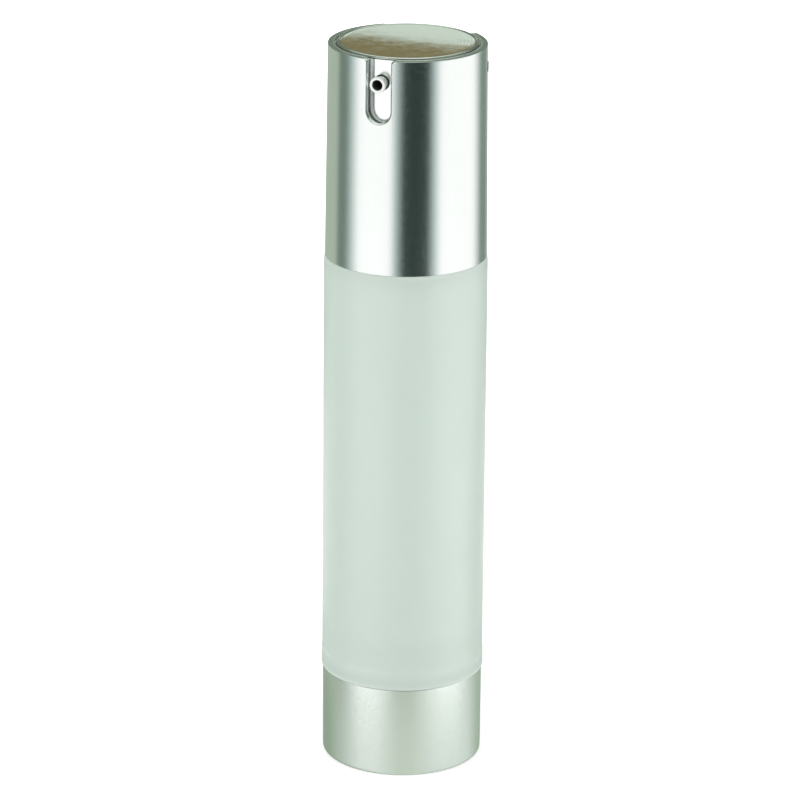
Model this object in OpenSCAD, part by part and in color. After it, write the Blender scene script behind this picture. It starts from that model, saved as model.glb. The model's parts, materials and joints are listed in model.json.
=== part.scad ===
// Capless airless pump bottle. A follower climbs the barrel as the pump in the collar draws
// from it. The origin is the centre of the foot, +Z runs up the axis, the nozzle points to -Y.

/* [Barrel] */
// Outer diameter of the barrel above its lip
barrel_d = 33; // [32:0.5:38]
// Length of the barrel between base and collar
barrel_h = 88; // [60:1:110]
// Wall of the barrel
barrel_wall = 1.9; // [1.6:0.1:2.2]
// Diameter that the barrel loses from foot to shoulder
barrel_draft = 0.1; // [0:0.05:0.2]
// Height of the fuller lip at the foot of the barrel
lip_h = 4; // [2:0.5:6]
// Edge of that lip at the seam
lip_edge = 0.15; // [0.1:0.05:0.3]
// How far the lip stands proud of the barrel
lip_proud = 0.1; // [0.05:0.05:0.2]
// Height of the tucked-in edge under the collar
shoulder_h = 0.8; // [0.5:0.1:1.2]
// How far that edge tucks in
shoulder_tuck = 0.25; // [0.1:0.05:0.35]
// Thickness of the roof over the product
roof_t = 2; // [1.5:0.1:2.5]
// Fillet between the bore and the roof
roof_fillet = 1.5; // [1:0.1:2]

/* [Neck] */
// Width of the shoulder between barrel and neck
shoulder_w = 3.55; // [3.2:0.05:3.9]
// Wall of the neck
neck_wall = 2; // [1.6:0.1:2.4]
// Height of the neck above the shoulder
neck_h = 14; // [13:0.5:15]
// How far the snap bead stands out of the neck
bead_proud = 0.45; // [0.3:0.05:0.5]
// Height of the snap bead
bead_h = 2.6; // [2:0.2:3]
// Height of the bead's foot above the shoulder
bead_rise = 6; // [4:0.5:8]
// Thickness of the neck's gasket
gasket_t = 0.8; // [0.6:0.1:1.2]

/* [Base] */
// Height of the base, foot to seam
base_h = 19; // [14:0.5:26]
// How far the base's wall stands back from the barrel
base_step = 0.15; // [0.05:0.05:0.3]
// Diameter that the base loses towards the foot
base_draft = 0.1; // [0:0.05:0.2]
// Thickness of the base's sheet metal
base_metal = 0.5; // [0.4:0.05:0.6]
// Radius of the foot's outer edge
foot_edge = 0.7; // [0.6:0.05:1]
// Diameter of the dished middle of the foot
dish_d = 25; // [20:0.5:27]
// Depth of that dish
dish_h = 0.3; // [0.2:0.05:0.5]
// Gap that shows as a line between base and barrel
seam_gap = 0.15; // [0.1:0.05:0.3]
// Wall of the insert in the base
plug_wall = 1.2; // [1:0.1:1.6]
// Height of the ring that plugs the barrel
spigot_h = 4; // [3:0.5:6]
// Wall of that ring
spigot_wall = 1; // [0.8:0.1:1.4]
// Number of gussets in the insert
gussets = 6; // [3:1:12]
// Height of the gussets
gusset_h = 10; // [5:0.5:10]
// Thickness of the gussets
gusset_t = 0.8; // [0.6:0.1:1.2]
// Width of the gussets at their foot
gusset_w = 5; // [3:0.5:7]
// Height of the rim round the air hole
vent_rim_h = 1; // [0.5:0.1:2]
// Diameter of the hole that lets air in under the follower
vent_d = 2; // [1:0.1:3]

/* [Follower] */
// Height of the follower
follower_h = 10; // [9:0.5:13]
// Wall of the follower
follower_wall = 1; // [0.8:0.1:1.2]
// Height of each wiping lip
wiper_h = 1; // [0.6:0.1:1.4]
// Depth of the waist between the lips
waist_depth = 0.45; // [0.3:0.05:0.6]
// Room between the follower's well and the pump at the top of the travel
well_gap = 0.8; // [0.5:0.1:1.2]
// Thickness of the ribs under the crown
follower_rib_t = 0.8; // [0.6:0.1:1]
// Number of ribs under the crown
follower_ribs = 6; // [3:1:12]

/* [Pump] */
// Bore of the dosing chamber
chamber_d = 8.4; // [7.8:0.1:9]
// Wall of the pump's housing
housing_wall = 1.2; // [1:0.1:1.4]
// Thickness of the housing's flange
flange_t = 1.2; // [1:0.1:1.6]
// Height of the ring that centres the housing in the neck
centring_h = 4; // [3:0.5:5]
// Wall of that ring
centring_wall = 1; // [0.8:0.1:1.4]
// Thickness of the top of the snap ring
closure_t = 1.5; // [1.3:0.1:2]
// Thickness of the housing cap's flange
cap_t = 1.2; // [1:0.1:1.3]
// Depth of the housing cap's sleeve in the chamber
sleeve_h = 4; // [3:0.5:5]
// Height of the housing cap's guide above its flange
guide_h = 4; // [3:0.5:5]
// Wall of that guide
guide_wall = 1.2; // [1:0.1:1.4]
// Outer diameter of the stem
stem_d = 5.2; // [5:0.1:5.6]
// Bore of the stem
stem_bore = 2.4; // [2:0.1:2.6]
// Height of the stem's stop
stop_h = 1.7; // [1.2:0.1:2.2]
// Diameter of the piston rod
rod_d = 3.4; // [3.2:0.1:3.6]
// Bore of the piston rod
rod_bore = 1.6; // [1.2:0.1:1.8]
// Diameter of the rod's side ports
port_d = 1; // [0.8:0.1:1.2]
// Thickness of the rod's sealing head
head_t = 1.2; // [1:0.1:1.5]
// Diameter of the rod's sealing head
head_d = 6; // [5.6:0.1:6.4]
// Height of the sliding seal
seal_h = 5; // [4.5:0.1:5.5]
// Height of the seal's wiping lips
seal_lip = 0.8; // [0.6:0.1:1]
// Thickness of those lips
seal_lip_t = 0.5; // [0.4:0.1:0.7]
// Depth of the cup in the top of the seal
seal_cup = 1.2; // [0.8:0.1:1.5]
// Wall of the seal's ring on the rod
seal_wall = 0.7; // [0.5:0.1:0.8]
// How far the seal slides on the rod to open its ports
seal_shift = 0.6; // [0.4:0.1:0.8]
// Diameter of the inlet ball
ball_d = 3.2; // [3:0.1:3.6]
// Lift of the inlet ball
ball_lift = 0.6; // [0.4:0.1:0.8]
// Number of nibs that keep the ball in its cage
nibs = 3; // [3:1:5]
// Bore of the inlet
inlet_d = 1.6; // [1.2:0.1:1.8]
// Length of the inlet below its seat
inlet_h = 1; // [0.8:0.1:1.4]

/* [Spring] */
// Length of the spring as fitted
spring_h = 13.8; // [13:0.1:15]
// Mean diameter of the spring
spring_d = 10.2; // [9.8:0.1:10.8]
// Diameter of the spring's wire
wire_d = 0.8; // [0.6:0.05:0.9]
// Number of turns
turns = 6.5; // [5:0.5:7]
// Width of the seat outside the spring
spring_seat = 1.5; // [1.2:0.1:1.8]

/* [Collar] */
// Height of the collar
collar_h = 43.5; // [42:0.5:52]
// How far the collar's foot stands back from the barrel
collar_step = 0.2; // [0.1:0.05:0.3]
// Diameter that the collar loses from foot to rim
collar_draft = 0.9; // [0.4:0.1:1.2]
// Thickness of the collar's sheet metal
collar_metal = 0.4; // [0.3:0.05:0.5]
// Wall of the sleeve inside the collar
liner_wall = 0.95; // [0.8:0.05:1.1]
// Outer radius of the rim
rim_edge = 0.3; // [0.2:0.05:0.35]
// How far the rim falls towards the mouth
rim_fall = 0.05; // [0:0.01:0.1]
// Width of the shelf's seat on the snap ring
shelf_w = 1.5; // [1.2:0.1:2]
// Thickness of the shelf that holds the sleeve on the snap ring
shelf_t = 1.2; // [1:0.1:1.6]
// Width of the nozzle's slot
slot_w = 5.5; // [5:0.1:6]
// Radius of the slot's and the notch's tips at the rim
tip_edge = 0.8; // [0.5:0.1:1]
// Width of the finger notch at the back
notch_w = 18.6; // [16:0.1:20]
// Depth of the finger notch
notch_depth = 6; // [4:0.5:8]
// Radius in the notch's lower corners
notch_corner = 3; // [2:0.5:3.5]
// Diameter of the side pips that lock the sleeve
pip_d = 2.2; // [1.8:0.1:2.6]
// Angle of the side pips from the nozzle
pip_angle = 110; // [100:1:125]
// Depth of the side pips below the rim
pip_drop = 4.8; // [4:0.1:7]
// How far the pips stand out of the collar
pip_proud = 0.15; // [0.05:0.05:0.25]

/* [Button] */
// Stroke of the button
press_travel = 5.4; // [5:0.1:5.8]
// Gap round the button in the collar's mouth
mouth_gap = 0.35; // [0.3:0.05:0.6]
// Wall of the button's skirt
skirt_wall = 1; // [0.8:0.1:1.2]
// Edge of the skirt under the disc
skirt_edge = 0.15; // [0.1:0.05:0.3]
// Room under the skirt at full stroke
skirt_room = 0.9; // [0.5:0.1:1.5]
// How far the disc stands above the rim
disc_proud = 0.3; // [0.1:0.1:1]
// Thickness of the disc's sheet metal
disc_metal = 0.4; // [0.3:0.05:0.6]
// How far the disc's edge stands back from the skirt
disc_step = 0.05; // [0.05:0.05:0.3]
// Width of the bead round the disc
disc_bead = 0.5; // [0.4:0.05:0.8]
// Width of the flat ring inside the bead, measured from the disc's edge
ring_in = 2.4; // [1.8:0.1:3]
// How much deeper the middle of the disc lies than that ring
disc_sag = 0.05; // [0.02:0.01:0.1]
// Depth of the dish inside the bead
disc_dish = 0.2; // [0.15:0.05:0.35]
// Wall of the tube that grips the stem, outside the spring
core_wall = 0.7; // [0.6:0.1:0.8]
// Wall of the boss that holds the nozzle
boss_wall = 1.3; // [1.1:0.1:1.6]
// Thickness of the web under the disc
web_t = 1.2; // [1:0.1:1.5]
// Number of ribs under that web
web_ribs = 6; // [3:1:8]
// Depth of those ribs
web_rib_h = 3; // [2:0.5:4]
// Thickness of those ribs
web_rib_t = 1; // [0.8:0.1:1.2]

/* [Nozzle] */
// Depth of the nozzle's axis below the rim
nozzle_drop = 4.85; // [4.6:0.05:5.2]
// Diameter of the nozzle's flange
nozzle_d = 3.3; // [3.2:0.05:4]
// Length of the flange
nozzle_flange = 0.8; // [0.6:0.1:1.2]
// Length of the cone behind the flange
nozzle_cone = 0.7; // [0.4:0.1:1]
// Rounding of the flange's face
tip_round = 0.2; // [0.1:0.05:0.3]
// Diameter of the nozzle's neck
nozzle_neck = 2.8; // [2.6:0.1:3]
// Length of the nozzle
nozzle_len = 7.7; // [7:0.1:8]
// How far the nozzle stands out of the collar
nozzle_proud = 0.65; // [0.1:0.05:0.7]
// Diameter of the outlet
outlet_d = 2.1; // [1.8:0.1:2.2]
// Depth of the outlet
outlet_depth = 4; // [1:0.5:5]
// Diameter of the channel behind the outlet
channel_d = 1.4; // [1:0.1:1.6]
// Gap round the nozzle's neck in the skirt
nozzle_gap = 0.2; // [0.1:0.05:0.4]

/* [Hidden] */
$fn = 96;

// Clearances: fixed fits, running fits, loose pieces, and stops that just miss
fit_gap = 0.05;
run_gap = 0.08;
loose_gap = 0.3;
stop_gap = 0.1;
// Cuts run this far past the faces that they open
over = 1;
// Edges of moulded pieces, edges that guide one piece into another, and how deep a rib is rooted
edge = 0.3;
lead_in = 0.5;
root = 0.2;

satin_metal = [0.78, 0.80, 0.78];
bright_metal = [0.72, 0.72, 0.62];
steel = [0.62, 0.63, 0.65];
white_plastic = [0.95, 0.96, 0.95];
natural_plastic = [0.88, 0.90, 0.88];
frosted_plastic = [0.84, 0.88, 0.86, 0.6];
rubber_grey = [0.55, 0.57, 0.58];

// Heights of the outer pieces
collar_z = base_h + barrel_h;
top_z = collar_z + collar_h;
roof_z = collar_z - roof_t;
neck_top_z = collar_z + neck_h;
bead_z = collar_z + bead_rise;

// Radii of barrel and neck
barrel_r = barrel_d / 2;
shoulder_r = barrel_r - barrel_draft / 2;
bore_r = barrel_r - barrel_wall;
neck_r = shoulder_r - shoulder_w;
neck_bore_r = neck_r - neck_wall;
bead_r = neck_r + bead_proud;

// Radii of the base
base_top_r = barrel_r - base_step;
base_foot_r = base_top_r - base_draft / 2;
dish_r = dish_d / 2;
vent_r = vent_d / 2;
plug_z = base_metal + dish_h;
spigot_r = bore_r - fit_gap;

// Pump, from the neck upwards
flange_z = neck_top_z + gasket_t;
deck_z = flange_z + flange_t;
cap_top_z = deck_z + cap_t;
closure_top_z = deck_z + closure_t;
shelf_top_z = closure_top_z + shelf_t;
flange_r = neck_r - 2 * stop_gap;
chamber_r = chamber_d / 2;
housing_r = chamber_r + housing_wall;
stem_r = stem_d / 2;
guide_bore_r = stem_r + run_gap;
spring_r = spring_d / 2;
spring_out_r = spring_r + wire_d / 2;
cap_r = spring_out_r + spring_seat;

// Pump, from the cap's sleeve down to the inlet
sleeve_z = deck_z - sleeve_h;
stop_top_z = sleeve_z - loose_gap;
stop_z = stop_top_z - stop_h;
stop_r = chamber_r - 2 * loose_gap;
guide_r = stem_r + guide_wall;
seal_top_z = stop_z - seal_shift - stop_gap;
seal_z = seal_top_z - seal_h;
seal_r = chamber_r - fit_gap;
rod_r = rod_d / 2;
head_top_z = seal_z - stop_gap;
head_z = head_top_z - head_t;
head_r = head_d / 2;
port_z = seal_z + port_d / 2 + stop_gap;
chamber_z = head_z - press_travel - 2 * loose_gap;
ball_r = ball_d / 2;
cage_r = ball_r + loose_gap;
nib_z = chamber_z - 2 * loose_gap;
nib_r = 0.75 * ball_r;
nib_w = ball_r * 0.75;
ball_z = nib_z - nib_r - ball_lift;
seat_apex_z = ball_z - sqrt(2) * (ball_r + fit_gap);
inlet_r = inlet_d / 2;
nose_z = seat_apex_z + inlet_r - inlet_h;
nose_r = cage_r + housing_wall;

// Follower, at the foot of its travel
follower_z = base_h + spigot_h + stop_gap;
crown_z = follower_z + follower_h;
follower_r = bore_r - fit_gap;
follower_rise = roof_z - loose_gap - crown_z;
well_r = housing_r + well_gap;
well_floor_z = nose_z - loose_gap - follower_rise;

// Collar
collar_foot_r = shoulder_r - collar_step;
collar_rim_r = collar_foot_r - collar_draft / 2;
function collar_r(z) = collar_foot_r - (z - collar_z) / collar_h * collar_draft / 2;
liner_in = collar_metal + fit_gap + liner_wall;
function grip_r(z) = collar_r(z) - liner_in - stop_gap;
mouth_r = collar_rim_r - liner_in;
liner_top_z = top_z - rim_fall - collar_metal - fit_gap;
shelf_in_r = cap_r + shelf_w;
nozzle_z = top_z - nozzle_drop;
slot_depth = nozzle_drop + press_travel + slot_w / 2;
pip_z = top_z - pip_drop;

// Button
skirt_r = mouth_r - mouth_gap;
skirt_in_r = skirt_r - skirt_wall;
skirt_z = shelf_top_z + press_travel + skirt_room;
disc_r = skirt_r - disc_step;
disc_top_z = top_z + disc_proud;
disc_under_z = disc_top_z - disc_dish - disc_metal;
web_top_z = disc_under_z - skirt_wall;
web_z = web_top_z - web_t;
core_z = cap_top_z + spring_h;
core_r = spring_out_r + core_wall;
nozzle_tip_y = collar_r(nozzle_z) + nozzle_proud;
nozzle_root_y = nozzle_tip_y - nozzle_len;
boss_r = nozzle_neck / 2 + boss_wall;
boss_y = skirt_in_r - loose_gap;
socket_top_z = nozzle_z - boss_r + 2 * edge;

module turned() rotate_extrude() children();

// A straight piece of the nozzle's line, between two distances in front of the axis
module towards_nozzle(r, y0, y1, r1 = -1)
    translate([0, -y0, nozzle_z]) rotate([90, 0, 0])
        cylinder(h = y1 - y0, r1 = r, r2 = r1 < 0 ? r : r1);

// Corner of a profile, to be cut away so that an arc of radius r is left
module corner_cut(r, sx, sz)
    difference() {
        translate([sx > 0 ? 0 : -r - over, sz > 0 ? 0 : -r - over]) square(r + over);
        circle(r);
    }

// Outline of a cut into the collar's rim, hanging from z = 0, with round foot and rounded tips
module rim_cut(w, depth, corner, tip) {
    translate([-w / 2, corner - depth]) square([w, depth - corner + over]);
    if (w > 2 * corner + fit_gap) translate([corner - w / 2, -depth]) square([w - 2 * corner, depth]);
    for (side = [-1, 1]) {
        translate([side * (w / 2 - corner), corner - depth]) circle(corner);
        difference() {
            translate([side * (w + tip) / 2, (over - tip) / 2]) square([tip, tip + over], center = true);
            translate([side * (w / 2 + tip), -tip]) circle(tip);
        }
    }
}

module nozzle_slot() {
    start = mouth_r - slot_w / 2;
    translate([0, -start, top_z]) rotate([90, 0, 0]) linear_extrude(height = barrel_r + over - start)
        rim_cut(slot_w, slot_depth, slot_w / 2, tip_edge);
}

module finger_notch() {
    start = sqrt(mouth_r * mouth_r - notch_w * notch_w / 4) - notch_corner;
    translate([0, start, top_z]) rotate([90, 0, 180]) linear_extrude(height = barrel_r + over - start)
        rim_cut(notch_w, notch_depth, notch_corner, tip_edge);
}

module side_pips(r, reach)
    for (side = [-1, 1]) rotate([0, 0, side * pip_angle - 90]) translate([mouth_r + liner_wall / 2, 0, pip_z])
        rotate([0, 90, 0]) cylinder(h = reach - mouth_r - liner_wall / 2, r = r);

// Solid cup of the base, shrunk by the sheet for its inside
module base_outline(inset) {
    corner = foot_edge - inset;
    foot_r = base_foot_r - inset;
    difference() {
        polygon([[0, inset + dish_h], [dish_r, inset + dish_h], [dish_r + dish_h, inset], [foot_r, inset],
            [foot_r, inset + corner], [base_top_r - inset, base_h - seam_gap],
            [base_top_r - inset, base_h + inset], [0, base_h + inset]]);
        translate([foot_r - corner, inset + corner]) corner_cut(corner, 1, -1);
    }
}

module base_shell() color(satin_metal)
    turned() difference() {
        base_outline(0);
        base_outline(base_metal);
        translate([0, base_h - seam_gap]) square([barrel_r, base_metal + over]);
        square([vent_r, base_h]);
    }

module base_plug() color(white_plastic) {
    foot_r = base_foot_r - base_metal - fit_gap;
    ledge_r = base_top_r - base_metal - fit_gap;
    inner_r = foot_r - plug_wall;
    ring_in_r = spigot_r - spigot_wall;
    ring_top_z = base_h + spigot_h;
    floor_z = plug_z + plug_wall;
    turned() polygon([[vent_r, plug_z], [foot_r - lead_in, plug_z], [foot_r, plug_z + lead_in],
        [ledge_r, base_h], [spigot_r, base_h], [spigot_r, ring_top_z - lead_in],
        [spigot_r - lead_in, ring_top_z], [ring_in_r, ring_top_z], [ring_in_r, base_h - plug_wall],
        [inner_r, base_h - plug_wall], [inner_r, floor_z], [vent_r + plug_wall, floor_z],
        [vent_r + plug_wall, floor_z + vent_rim_h], [vent_r, floor_z + vent_rim_h]]);
    for (i = [0:gussets - 1]) rotate([90, 0, (i + 0.5) * 360 / gussets])
        translate([0, 0, -gusset_t / 2]) linear_extrude(height = gusset_t)
            polygon([[inner_r - gusset_w, floor_z - root], [inner_r + root, floor_z - root],
                [inner_r + root, floor_z + gusset_h]]);
}

module barrel() color(frosted_plastic) {
    lip_r = barrel_r + lip_proud;
    turned() difference() {
        union() {
            polygon([[0, base_h], [lip_r - lip_edge, base_h], [lip_r, base_h + lip_edge],
                [lip_r, base_h + lip_h - lead_in], [barrel_r, base_h + lip_h],
                [shoulder_r, collar_z - shoulder_h],
                [shoulder_r - shoulder_tuck / 3, collar_z - shoulder_h / 2],
                [shoulder_r - shoulder_tuck, collar_z], [0, collar_z]]);
            translate([0, collar_z - over]) square([neck_r, neck_h + over]);
            polygon([[0, bead_z], [neck_r, bead_z], [bead_r, bead_z + bead_h / 4],
                [bead_r, bead_z + bead_h / 2], [neck_r, bead_z + bead_h], [0, bead_z + bead_h]]);
        }
        difference() {
            translate([0, base_h - over]) square([bore_r, roof_z - base_h + over]);
            translate([bore_r - roof_fillet, roof_z - roof_fillet]) corner_cut(roof_fillet, 1, 1);
        }
        square([neck_bore_r, neck_top_z + over]);
    }
}

module follower_piston() color(white_plastic) {
    waist_r = follower_r - waist_depth;
    skin_r = waist_r - follower_wall;
    lip_z = crown_z - roof_fillet;
    under_z = crown_z - follower_wall - edge;
    well_out_r = well_r + follower_wall;
    rib_z = well_floor_z + over;
    turned() polygon([[skin_r, follower_z], [follower_r, follower_z], [follower_r, follower_z + wiper_h],
        [waist_r, follower_z + 2 * wiper_h], [waist_r, lip_z - 2 * wiper_h], [follower_r, lip_z - wiper_h],
        [follower_r, lip_z], [waist_r - edge, lip_z], [bore_r - roof_fillet, crown_z],
        [well_r + 2 * edge, crown_z], [well_r, crown_z - 2 * edge], [well_r, well_floor_z],
        [0, well_floor_z], [0, well_floor_z - follower_wall], [well_out_r, well_floor_z - follower_wall],
        [well_out_r, under_z], [skin_r - follower_wall, under_z], [skin_r, under_z - follower_wall]]);
    for (i = [0:follower_ribs - 1]) rotate([0, 0, i * 360 / follower_ribs])
        translate([well_out_r - root, -follower_rib_t / 2, rib_z])
            cube([skin_r - well_out_r + 2 * root, follower_rib_t, under_z + root - rib_z]);
}

module neck_gasket() color(rubber_grey)
    translate([0, 0, neck_top_z]) difference() {
        cylinder(h = gasket_t, r = flange_r);
        translate([0, 0, -over]) cylinder(h = gasket_t + 2 * over, r = neck_bore_r);
    }

module pump_closure() color(white_plastic) {
    foot_z = collar_z + over;
    inner_r = neck_r + stop_gap;
    groove_r = bead_r + stop_gap;
    outer_r = grip_r(closure_top_z);
    turned() difference() {
        polygon([[0, foot_z], [grip_r(foot_z) - lead_in, foot_z], [grip_r(foot_z), foot_z + lead_in],
            [outer_r, closure_top_z - lead_in], [outer_r - lead_in, closure_top_z], [0, closure_top_z]]);
        square([inner_r, deck_z]);
        square([cap_r + loose_gap, top_z]);
        polygon([[0, bead_z - stop_gap], [inner_r, bead_z - stop_gap], [groove_r, bead_z + bead_h / 4],
            [groove_r, bead_z + bead_h], [inner_r, bead_z + bead_h + lead_in],
            [0, bead_z + bead_h + lead_in]]);
        polygon([[0, foot_z - over], [inner_r + lead_in + over, foot_z - over],
            [inner_r, foot_z + lead_in], [0, foot_z + lead_in]]);
    }
}

module pump_housing() color(natural_plastic) {
    nose_top_z = chamber_z - housing_wall;
    ring_r = neck_bore_r - stop_gap;
    turned() difference() {
        union() {
            translate([0, flange_z]) square([flange_r, flange_t]);
            translate([0, flange_z - centring_h]) square([ring_r, centring_h + flange_t / 2]);
            polygon([[0, nose_z], [nose_r - 2 * edge, nose_z], [nose_r, nose_z + 2 * edge],
                [nose_r, nose_top_z - housing_wall], [housing_r, nose_top_z],
                [housing_r, deck_z - flange_t / 2], [0, deck_z - flange_t / 2]]);
        }
        translate([housing_r, 0]) square([ring_r - centring_wall - housing_r, flange_z]);
        translate([0, chamber_z]) square([chamber_r, deck_z]);
        polygon([[0, seat_apex_z], [cage_r, seat_apex_z + cage_r], [cage_r, chamber_z + over],
            [0, chamber_z + over]]);
        square([inlet_r, chamber_z]);
    }
    // Nibs that keep the ball in its cage
    for (i = [0:nibs - 1]) rotate([0, 0, i * 360 / nibs]) intersection() {
        difference() {
            translate([0, 0, nib_z]) cylinder(h = chamber_z - nib_z, r = cage_r + root);
            translate([0, 0, nib_z - over]) cylinder(h = 3 * over, r = nib_r);
        }
        translate([0, -nib_w / 2, nib_z - over]) cube([cage_r + over, nib_w, 3 * over]);
    }
}

module housing_cap() color(white_plastic) {
    sleeve_r = chamber_r - fit_gap;
    guide_top_z = cap_top_z + guide_h;
    turned() difference() {
        union() {
            translate([0, deck_z]) square([cap_r, cap_t]);
            polygon([[0, sleeve_z], [sleeve_r - edge, sleeve_z], [sleeve_r, sleeve_z + edge],
                [sleeve_r, cap_top_z], [0, cap_top_z]]);
            polygon([[0, deck_z], [guide_r, deck_z], [guide_r, guide_top_z - edge],
                [guide_r - edge, guide_top_z], [0, guide_top_z]]);
        }
        translate([0, sleeve_z - over]) square([guide_bore_r, top_z]);
    }
}

module inlet_ball() color(steel) translate([0, 0, ball_z]) sphere(r = ball_r);

module lower_stem() color(white_plastic)
    difference() {
        turned() polygon([[0, head_z], [head_r - lead_in, head_z], [head_r, head_z + lead_in],
            [head_r, head_top_z - edge], [head_r - edge, head_top_z], [rod_r, head_top_z],
            [rod_r, sleeve_z], [0, sleeve_z]]);
        translate([0, 0, port_z - port_d / 2]) cylinder(h = top_z, r = rod_bore / 2);
        for (a = [0, 90]) rotate([0, 0, a]) translate([0, 0, port_z]) rotate([90, 0, 0])
            cylinder(h = 2 * head_r, d = port_d, center = true);
    }

module seal_piston() color(rubber_grey) {
    waist_r = seal_r - seal_lip_t;
    ring_r = rod_r + run_gap;
    ring_out_r = ring_r + seal_wall;
    cup_z = seal_top_z - seal_cup;
    turned() polygon([[head_r - 2 * edge, seal_z], [seal_r, seal_z], [seal_r, seal_z + seal_lip],
        [waist_r, seal_z + 2 * seal_lip], [waist_r, seal_top_z - 2 * seal_lip],
        [seal_r, seal_top_z - seal_lip], [seal_r, seal_top_z], [waist_r, seal_top_z],
        [waist_r - seal_lip_t, cup_z], [ring_out_r, cup_z], [ring_out_r, seal_top_z],
        [ring_r, seal_top_z], [ring_r, seal_z + port_d + edge], [ring_r + edge, seal_z + port_d],
        [ring_r + edge, seal_z]]);
}

module upper_stem() color(white_plastic)
    turned() difference() {
        polygon([[0, stop_z], [stop_r, stop_z], [stop_r, stop_top_z - edge], [stop_r - edge, stop_top_z],
            [stem_r, stop_top_z], [stem_r, socket_top_z - edge], [stem_r - edge, socket_top_z],
            [0, socket_top_z]]);
        square([rod_r + fit_gap, sleeve_z + fit_gap]);
        square([stem_bore / 2, top_z]);
    }

// The spring's wire: points along a helix, 8 rings a turn, with straight ends one wire long
ring_steps = 8;
coil_z = cap_top_z + fit_gap + wire_d / 2;
coil_rise = spring_h - 2 * fit_gap - wire_d;
coil_slope = coil_rise / (turns * 2 * PI * spring_r);
rings = turns * ring_steps;
last = rings + 2;
function coil_at(t) = [spring_r * cos(360 * t), spring_r * sin(360 * t), coil_z + coil_rise * t / turns];
function coil_along(t) = [-sin(360 * t), cos(360 * t), coil_slope] / sqrt(1 + coil_slope * coil_slope);
function ring_at(p, along, out) = let (up = cross(along, out))
    [for (k = [0:5]) p + wire_d / 2 * (cos(60 * k) * out + sin(60 * k) * up)];
wire_points = [for (i = [-1:rings + 1])
    let (t = max(0, min(turns, i / ring_steps)), a = 360 * t, past = i < 0 ? -wire_d : i > rings ? wire_d : 0)
    each ring_at(coil_at(t) + past * [-sin(a), cos(a), 0], coil_along(t), [cos(a), sin(a), 0])];
// Triangles between ring i and the next, and two fans that close the ends
function ring_faces(i, k) = let (a = 6 * i + k, b = 6 * i + (k + 1) % 6) [[a, a + 6, b], [b, a + 6, b + 6]];
wire_faces = concat([for (k = [1:4]) [0, k, k + 1]],
    [for (i = [0:last - 1], k = [0:5]) each ring_faces(i, k)],
    [for (k = [1:4]) [6 * last, 6 * last + k + 1, 6 * last + k]]);
coil_gap = min([for (i = [0:rings], j = [i + 5:1:rings])
    norm(coil_at(i / ring_steps) - coil_at(j / ring_steps))]) - wire_d;
echo(least_gap_of_spring_to_itself = coil_gap);

module return_spring() color(steel) polyhedron(points = wire_points, faces = wire_faces, convexity = 10);

module collar_liner() color(white_plastic) {
    outer = collar_metal + fit_gap;
    foot_z = collar_z + fit_gap;
    shelf_out_r = collar_r(closure_top_z) - liner_in + root;
    difference() {
        turned() {
            polygon([[collar_r(foot_z) - liner_in, foot_z], [collar_r(foot_z) - outer, foot_z],
                [collar_r(liner_top_z) - outer, liner_top_z],
                [collar_r(liner_top_z) - liner_in, liner_top_z]]);
            translate([shelf_in_r, closure_top_z]) square([shelf_out_r - shelf_in_r, shelf_t]);
        }
        nozzle_slot();
        finger_notch();
    }
    side_pips(pip_d / 2, collar_r(pip_z) + pip_proud);
}

module collar_shell() color(satin_metal)
    difference() {
        turned() difference() {
            polygon([[collar_foot_r - collar_metal, collar_z], [collar_foot_r, collar_z],
                [collar_rim_r, top_z], [mouth_r, top_z - rim_fall],
                [mouth_r, top_z - rim_fall - collar_metal],
                [collar_rim_r - collar_metal, top_z - collar_metal]]);
            translate([collar_rim_r - rim_edge, top_z - rim_edge]) corner_cut(rim_edge, 1, 1);
        }
        nozzle_slot();
        finger_notch();
        side_pips(pip_d / 2 + stop_gap, barrel_r + over);
    }

module actuator_core() color(white_plastic) {
    web_r = skirt_in_r - fit_gap;
    grip_bore_r = stem_r + fit_gap;
    difference() {
        union() {
            translate([0, 0, core_z]) cylinder(h = web_top_z - core_z, r = core_r);
            translate([0, 0, web_z]) cylinder(h = web_t, r = web_r);
            towards_nozzle(boss_r, 0, boss_y);
            for (i = [0:web_ribs - 1]) rotate([0, 0, (i + 0.5) * 360 / web_ribs])
                translate([core_r - root, -web_rib_t / 2, web_z - web_rib_h])
                    cube([web_r - over - core_r, web_rib_t, web_rib_h + root]);
        }
        translate([0, 0, core_z - over])
            cylinder(h = socket_top_z - core_z + over + fit_gap, r = grip_bore_r);
        translate([0, 0, core_z - over]) cylinder(h = nozzle_z - core_z + over, r = stem_bore / 2);
        towards_nozzle(channel_d / 2, -stem_bore / 2, boss_y + over);
        towards_nozzle(nozzle_neck / 2 + fit_gap, nozzle_root_y - fit_gap, boss_y + over);
        translate([0, 0, core_z - over])
            cylinder(h = over + lead_in, r1 = grip_bore_r + over + lead_in, r2 = grip_bore_r);
    }
}

module actuator_skirt() color(bright_metal)
    difference() {
        turned() polygon([[skirt_in_r, skirt_z], [skirt_r - edge, skirt_z], [skirt_r, skirt_z + edge],
            [skirt_r, disc_under_z - skirt_edge], [skirt_r - skirt_edge, disc_under_z], [0, disc_under_z],
            [0, web_top_z], [skirt_in_r, web_top_z]]);
        towards_nozzle(nozzle_neck / 2 + nozzle_gap, skirt_in_r / 2, skirt_r + over);
    }

module actuator_disc() color(bright_metal) {
    corner = disc_bead / 2;
    ring_z = disc_top_z - disc_dish;
    turned() difference() {
        polygon([[0, disc_under_z], [disc_r, disc_under_z], [disc_r, disc_top_z],
            [disc_r - disc_bead, disc_top_z], [disc_r - 2 * disc_bead, ring_z + disc_sag],
            [disc_r - ring_in, ring_z + disc_sag], [0, ring_z]]);
        translate([disc_r - corner, disc_top_z - corner]) corner_cut(corner, 1, 1);
    }
}

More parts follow.
